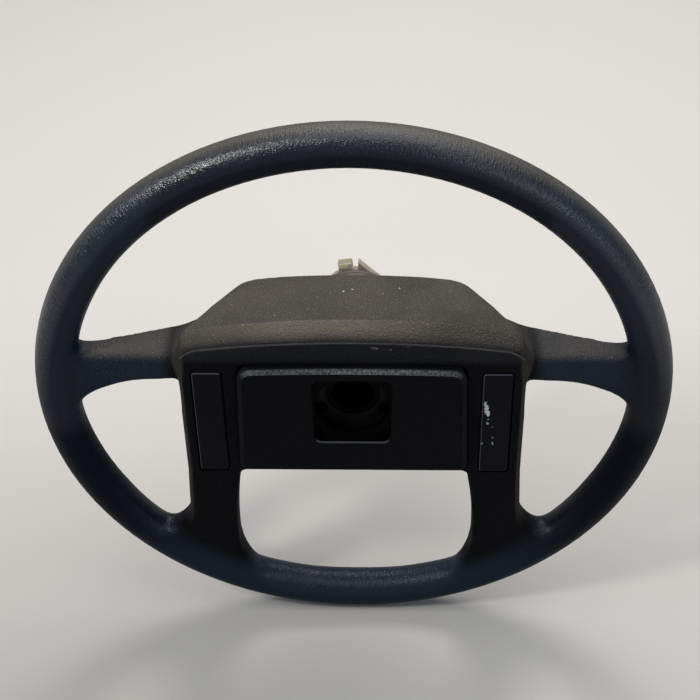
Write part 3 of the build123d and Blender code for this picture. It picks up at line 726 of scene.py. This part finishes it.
def moulded_skin(node):
    """The moulding remade as one even skin, with the spokes blended into the rim and the hub."""
    skin = shown_copy(node, "moulded_skin")
    remesh = skin.modifiers.new("even_skin", "REMESH")
    remesh.mode = "SHARP"
    remesh.octree_depth = skin_octree
    remesh.scale = skin_fill
    remesh.use_remove_disconnected = False
    evaluated = skin.evaluated_get(bpy.context.evaluated_depsgraph_get())
    even = bpy.data.meshes.new_from_object(evaluated)
    skin.modifiers.clear()
    skin.data = even
    work = bmesh.new()
    work.from_mesh(even)
    shares = [(vert, max(rim_blend(vert.co), hub_blend(vert.co))) for vert in work.verts]
    all_ways = {"use_axis_x": True, "use_axis_y": True, "use_axis_z": True}
    for turn in range(blend_passes):
        verts = [vert for vert, share in shares if share * blend_passes > turn]
        bmesh.ops.smooth_vert(work, verts=verts, factor=blend_factor, **all_ways)
    work.to_mesh(even)
    work.free()
    shade_smooth(even)
    even.set_sharp_from_angle(angle=sharp_angle)
    return skin


def rounded_piece(node, name, width):
    """A copy of a moulded piece with its sharp edges rounded."""
    piece = shown_copy(node, name)
    edges = piece.modifiers.new("rounded_edges", "BEVEL")
    edges.width = width
    edges.segments = round_segments
    edges.limit_method = "ANGLE"
    edges.angle_limit = round_angle
    edges.harden_normals = False
    shade_smooth(piece.data)
    return piece


def wear_corners(piece):
    """Widen the rounding of the panel's two upper corners."""
    work = bmesh.new()
    work.from_mesh(piece.data)
    cuts = (
        (Vector((-panel_corner_side, 0, 0)), Vector((1, 0, 0))),
        (Vector((panel_corner_side, 0, 0)), Vector((1, 0, 0))),
        (Vector((0, 0, panel_corner_height)), Vector((0, 0, 1))),
    )
    for place, direction in cuts:
        everything = work.verts[:] + work.edges[:] + work.faces[:]
        bmesh.ops.bisect_plane(work, geom=everything, dist=merge_gap, plane_co=place, plane_no=direction)
    for vert in work.verts:
        beside = abs(vert.co.x) - panel_corner_side
        above = vert.co.z - panel_corner_height
        reach = panel_corner_round - max(0.0, panel_shoulder - vert.co.y)
        if min(beside, above) > panel_corner_near and math.hypot(beside, above) > reach:
            turn = math.pi / 4 + panel_corner_spread * (math.atan2(above, beside) - math.pi / 4)
            vert.co.x = math.copysign(panel_corner_side + reach * math.cos(turn), vert.co.x)
            vert.co.z = panel_corner_height + reach * math.sin(turn)
    work.to_mesh(piece.data)
    work.free()
    shade_smooth(piece.data)


def leaf_spring(node, side):
    """A horn pad's spring as a smooth shaded copy, hung on the wheel in place of the CAD node."""
    spring = shown_copy(node, f"leaf_spring_{side}")
    shade_smooth(spring.data)
    spring.data.set_sharp_from_angle(angle=sharp_angle)
    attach(spring, "wheel")
    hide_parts(f"horn_spring_{side}")
    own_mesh(spring)
    return spring


def dress(piece, material):
    """Give a piece its finish."""
    piece.data.materials.clear()
    piece.data.materials.append(material)


foam_skin = foam_finish()
panel_black = panel_finish()
horn_black = horn_finish()
sleeve_brown = sleeve_finish()
ring_cream = ring_finish()
tray_black = plain_plastic("tray_plastic", colour(24, 24, 25), colour(34, 34, 35), 0.55)
lead_red = plain_plastic("lead_cover", colour(120, 28, 26), colour(146, 38, 34), 0.5)
# The armature's coat and the boss's steel are near black as painted shade, for the deep well behind the badge
# recess
shade_black_alloy = plain_plastic("shade_black_alloy", colour(6, 6, 7), colour(11, 11, 12), 0.65)
shade_dark_steel = metal("shade_dark_steel", colour(14, 14, 15), colour(24, 24, 25), 0.5, (0.2, 1, 0.2))
blued_steel = metal("blued_steel", colour(10, 10, 11), colour(18, 18, 20), 0.5, (1, 1, 1))
plated_steel = metal("plated_steel", colour(60, 58, 54), colour(82, 80, 75), 0.45, (1, 1, 1))
bright_brass = metal("bright_brass", colour(160, 128, 70), colour(196, 162, 96), 0.35, (0.2, 1, 0.2))

skin = moulded_skin(nodes["moulded_cover"])
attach(skin, "wheel")
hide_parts("moulded_cover")
dress(skin, foam_skin)

panel = rounded_piece(nodes["centre_pad"], "centre_panel", panel_round)
wear_corners(panel)
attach(panel, "wheel")
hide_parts("centre_pad")
dress(panel, panel_black)

ring = rounded_piece(nodes["cancel_ring"], "cancelling_ring", ring_round)
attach(ring, "wheel")
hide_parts("cancel_ring")
dress(ring, ring_cream)

for side in ("left", "right"):
    pad = rounded_piece(nodes[f"horn_pad_{side}"], f"horn_button_{side}", horn_round)
    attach(pad, f"horn_{side}")
    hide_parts(f"horn_pad_{side}")
    dress(pad, horn_black)
    spring = leaf_spring(nodes[f"horn_spring_{side}"], side)
    dress(spring, plated_steel)
    dress(nodes[f"horn_tray_{side}"], tray_black)
    dress(nodes[f"horn_tray_screws_{side}"], plated_steel)
    dress(nodes[f"contact_studs_{side}"], bright_brass)
    dress(nodes[f"contact_plate_{side}"], bright_brass)
    dress(nodes[f"horn_lead_{side}"], lead_red)

dress(nodes["armature"], shade_black_alloy)
dress(nodes["hub_boss"], shade_dark_steel)
dress(nodes["centre_pad_screws"], blued_steel)
dress(nodes["carrier_screws"], blued_steel)
dress(nodes["contact_carrier"], sleeve_brown)
dress(nodes["slip_ring"], bright_brass)

# Floor under the rim
floor_mesh = bpy.data.meshes.new("floor")
floor_shape = bmesh.new()
bmesh.ops.create_grid(floor_shape, x_segments=1, y_segments=1, size=floor_reach)
bmesh.ops.translate(floor_shape, verts=floor_shape.verts, vec=(0, 0, rim_low.z))
floor_shape.to_mesh(floor_mesh)
floor_shape.free()
floor_mesh.materials.append(floor_finish())
floor = added("floor", floor_mesh)

# Soft square lamps, turned to the hub
for name, place, size, power, tint in lamps:
    light = bpy.data.lights.new(name, "AREA")
    light.size = size
    light.energy = power
    light.color = tint
    lamp = added(name, light)
    lamp.location = place
    lamp.rotation_euler = (lamp_target - Vector(place)).to_track_quat("-Z", "Y").to_euler()

# Faint sky all round
world = bpy.data.worlds.new("studio")
world.use_nodes = True
sky = world.node_tree.nodes["Background"]
sky.inputs["Color"].default_value = sky_tint
sky.inputs["Strength"].default_value = sky_strength
bpy.context.scene.world = world
bpy.context.scene.view_settings.view_transform = "Standard"

# Camera
lens = bpy.data.cameras.new("camera")
lens.lens = camera_lens
lens.sensor_width = camera_sensor
camera = added("camera", lens)
looking = (camera_target - camera_place).to_track_quat("-Z", "Y").to_matrix()
turned = looking @ Matrix.Rotation(camera_roll, 3, "Z")
camera.matrix_world = Matrix.Translation(camera_place) @ turned.to_4x4()
bpy.context.scene.camera = camera
